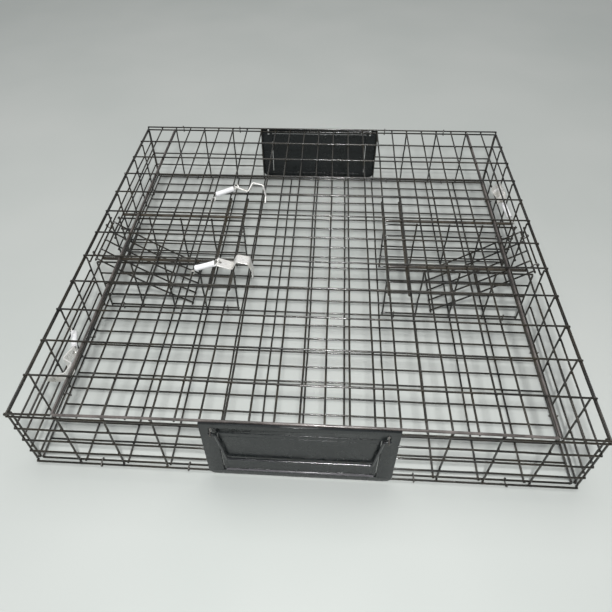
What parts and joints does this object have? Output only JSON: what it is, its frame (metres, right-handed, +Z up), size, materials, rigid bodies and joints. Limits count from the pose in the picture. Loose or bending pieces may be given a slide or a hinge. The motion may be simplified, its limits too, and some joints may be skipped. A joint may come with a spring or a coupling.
{
  "type": "folding crab trap",
  "caption": "Flat square wire-mesh crab trap with drop-down walls, hinged lid, one-way flap doors, side tunnels with drop gates, and sprung hook fasteners.",
  "frame": {"origin": "centre of the footprint on the floor", "axes": "+X to the right seen from the front door, +Y from the front door to the back door, +Z up"},
  "size_m": [0.6181, 0.6288, 0.1244],
  "materials": {
    "coated_wire": "gloss",
    "rim_bars": "gloss",
    "hog_rings": "satin",
    "door_plastic": "satin",
    "bail_wire": "gloss",
    "sleeve_plastic": "gloss",
    "spring_steel": "satin",
    "strap_steel": "satin"
  },
  "bodies": {
    "base": {"bottom_panel": "coated_wire", "front_hinge_rings": "hog_rings", "back_hinge_rings": "hog_rings", "left_hinge_rings": "hog_rings", "right_hinge_rings": "hog_rings", "tunnel_hinge_rings": "hog_rings"},
    "front_wall": {"front_wall": "coated_wire", "front_door_frame": "door_plastic", "front_door_rings": "hog_rings"},
    "front_flap": {"front_door_flap": "door_plastic"},
    "front_bail": {"front_door_bail": "bail_wire"},
    "back_wall": {"back_wall": "coated_wire", "back_door_frame": "door_plastic", "back_door_rings": "hog_rings", "lid_hinge_rings": "hog_rings"},
    "back_flap": {"back_door_flap": "door_plastic"},
    "back_bail": {"back_door_bail": "bail_wire"},
    "left_wall": {"left_wall": "coated_wire"},
    "left_gate_rings": {"left_gate_rings": "hog_rings"},
    "left_gate": {"left_gate": "coated_wire"},
    "left_tunnel_front_wall": {"left_tunnel_front_wall": "coated_wire"},
    "left_tunnel_back_wall": {"left_tunnel_back_wall": "coated_wire"},
    "right_wall": {"right_wall": "coated_wire"},
    "right_gate_rings": {"right_gate_rings": "hog_rings"},
    "right_gate": {"right_gate": "coated_wire"},
    "right_tunnel_front_wall": {"right_tunnel_front_wall": "coated_wire"},
    "right_tunnel_back_wall": {"right_tunnel_back_wall": "coated_wire"},
    "lid": {"lid_panel": "coated_wire", "lid_rim": "rim_bars", "left_tunnel_yoke": "rim_bars", "right_tunnel_yoke": "rim_bars"},
    "lid_front_hook": {"lid_front_hook_sleeve": "sleeve_plastic", "lid_front_hook_spring": "spring_steel", "lid_front_hook_strap": "strap_steel"},
    "lid_back_hook": {"lid_back_hook_sleeve": "sleeve_plastic", "lid_back_hook_spring": "spring_steel", "lid_back_hook_strap": "strap_steel"},
    "left_side_hook": {"left_side_hook_sleeve": "sleeve_plastic", "left_side_hook_spring": "spring_steel", "left_side_hook_strap": "strap_steel"},
    "right_side_hook": {"right_side_hook_sleeve": "sleeve_plastic", "right_side_hook_spring": "spring_steel", "right_side_hook_strap": "strap_steel"}
  },
  "joints": [
    {"name": "front_wall_fold", "type": "hinge", "parent": "base", "child": "front_wall", "pos_m": [0, -0.3048, 0.00365], "axis": [1, 0, 0], "range_deg": [0, 85]},
    {"name": "front_flap_swing", "type": "hinge", "parent": "front_wall", "child": "front_flap", "pos_m": [0, -0.308, 0.0886], "axis": [1, 0, 0], "range_deg": [0, 75]},
    {"name": "front_bail_swing", "type": "hinge", "parent": "front_wall", "child": "front_bail", "pos_m": [0, -0.3115, 0.0906], "axis": [-1, 0, 0], "range_deg": [0, 90]},
    {"name": "back_wall_fold", "type": "hinge", "parent": "base", "child": "back_wall", "pos_m": [0, 0.3048, 0.00365], "axis": [-1, 0, 0], "range_deg": [0, 85]},
    {"name": "back_flap_swing", "type": "hinge", "parent": "back_wall", "child": "back_flap", "pos_m": [0, 0.308, 0.0886], "axis": [-1, 0, 0], "range_deg": [0, 75]},
    {"name": "back_bail_swing", "type": "hinge", "parent": "back_wall", "child": "back_bail", "pos_m": [0, 0.3115, 0.0906], "axis": [1, 0, 0], "range_deg": [0, 90]},
    {"name": "left_wall_fold", "type": "hinge", "parent": "base", "child": "left_wall", "pos_m": [-0.3048, 0, 0.0061], "axis": [0, -1, 0], "range_deg": [0, 90]},
    {"name": "left_gate_hang", "type": "hinge", "parent": "left_wall", "child": "left_gate_rings", "pos_m": [-0.2999, 0, 0.089], "axis": [0, -1, 0], "range_deg": [-57, 0]},
    {"name": "left_gate_lift", "type": "hinge", "parent": "left_gate_rings", "child": "left_gate", "pos_m": [-0.29537, 0, 0.08606], "axis": [0, -1, 0], "range_deg": [0, 28]},
    {"name": "left_tunnel_front_fold", "type": "hinge", "parent": "base", "child": "left_tunnel_front_wall", "pos_m": [-0.2, -0.0499, 0.00905], "axis": [1, 0, 0], "range_deg": [0, 90]},
    {"name": "left_tunnel_back_fold", "type": "hinge", "parent": "base", "child": "left_tunnel_back_wall", "pos_m": [-0.2, 0.0499, 0.00905], "axis": [-1, 0, 0], "range_deg": [0, 90]},
    {"name": "right_wall_fold", "type": "hinge", "parent": "base", "child": "right_wall", "pos_m": [0.3048, 0, 0.0061], "axis": [0, 1, 0], "range_deg": [0, 90]},
    {"name": "right_gate_hang", "type": "hinge", "parent": "right_wall", "child": "right_gate_rings", "pos_m": [0.2999, 0, 0.089], "axis": [0, 1, 0], "range_deg": [-57, 0]},
    {"name": "right_gate_lift", "type": "hinge", "parent": "right_gate_rings", "child": "right_gate", "pos_m": [0.29537, 0, 0.08606], "axis": [0, 1, 0], "range_deg": [0, 28]},
    {"name": "right_tunnel_front_fold", "type": "hinge", "parent": "base", "child": "right_tunnel_front_wall", "pos_m": [0.2, -0.0499, 0.00905], "axis": [1, 0, 0], "range_deg": [0, 90]},
    {"name": "right_tunnel_back_fold", "type": "hinge", "parent": "base", "child": "right_tunnel_back_wall", "pos_m": [0.2, 0.0499, 0.00905], "axis": [-1, 0, 0], "range_deg": [0, 90]},
    {"name": "lid_open", "type": "hinge", "parent": "back_wall", "child": "lid", "pos_m": [0, 0.3048, 0.10075], "axis": [-1, 0, 0], "range_deg": [0, 85]},
    {"name": "lid_front_hook_swing", "type": "hinge", "parent": "lid", "child": "lid_front_hook", "pos_m": [-0.1524, -0.0762, 0.0983], "axis": [0, -1, 0], "range_deg": [0, 110]},
    {"name": "lid_back_hook_swing", "type": "hinge", "parent": "lid", "child": "lid_back_hook", "pos_m": [-0.1524, 0.0889, 0.0983], "axis": [0, -1, 0], "range_deg": [0, 110]},
    {"name": "left_side_hook_swing", "type": "hinge", "parent": "left_wall", "child": "left_side_hook", "pos_m": [-0.30235, -0.1497, 0.06185], "axis": [0, 0, 1], "range_deg": [0, 70]},
    {"name": "right_side_hook_swing", "type": "hinge", "parent": "right_wall", "child": "right_side_hook", "pos_m": [0.30235, 0.0998, 0.06185], "axis": [0, 0, 1], "range_deg": [0, 70]}
  ],
  "couplings": [
    {"joint": "left_gate_hang", "follows": "left_wall_fold", "ratio": -0.63333},
    {"joint": "right_gate_hang", "follows": "right_wall_fold", "ratio": -0.63333}
  ]
}
